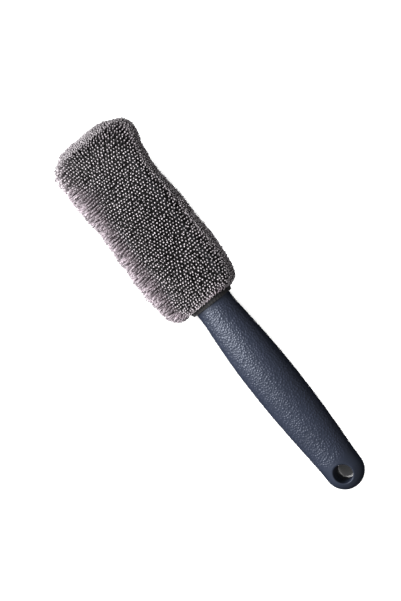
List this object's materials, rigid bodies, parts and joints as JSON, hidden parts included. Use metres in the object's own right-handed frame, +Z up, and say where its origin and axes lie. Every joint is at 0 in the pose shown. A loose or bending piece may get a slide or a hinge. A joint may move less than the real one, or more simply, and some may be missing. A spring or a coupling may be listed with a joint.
{
  "type": "wheel brush",
  "caption": "Hand-held wheel brush with a pebble-grained plastic handle, a hang hole and a flat foam paddle in a removable looped-pile microfibre cover.",
  "frame": {"origin": "centre of the brush's footprint, on the surface that it lies on", "axes": "+X along the brush from the hang hole to the head's tip, +Z up out of the broad front face, +Y across"},
  "size_m": [0.3301, 0.0714, 0.033],
  "materials": {
    "handle_plastic": "satin",
    "core_plastic": "satin",
    "foam": "matte",
    "pile_fabric": "matte",
    "seam_thread": "matte",
    "hem_fabric": "matte",
    "elastic": "matte"
  },
  "bodies": {
    "handle": {"handle_front_shell": "handle_plastic", "handle_back_shell": "handle_plastic", "paddle_core": "core_plastic", "foam_pad_front": "foam", "foam_pad_back": "foam"},
    "cover": {"cover_front_panel": "pile_fabric", "cover_back_panel": "pile_fabric", "cover_side_seam": "seam_thread", "cover_mouth_hem": "hem_fabric", "cover_mouth_elastic": "elastic"}
  },
  "joints": [
    {"name": "cover_slide", "type": "slide", "parent": "handle", "child": "cover", "axis": [1, 0, 0], "range_m": [0, 0.175], "deforming": ["cover_mouth_hem", "cover_mouth_elastic"]}
  ]
}
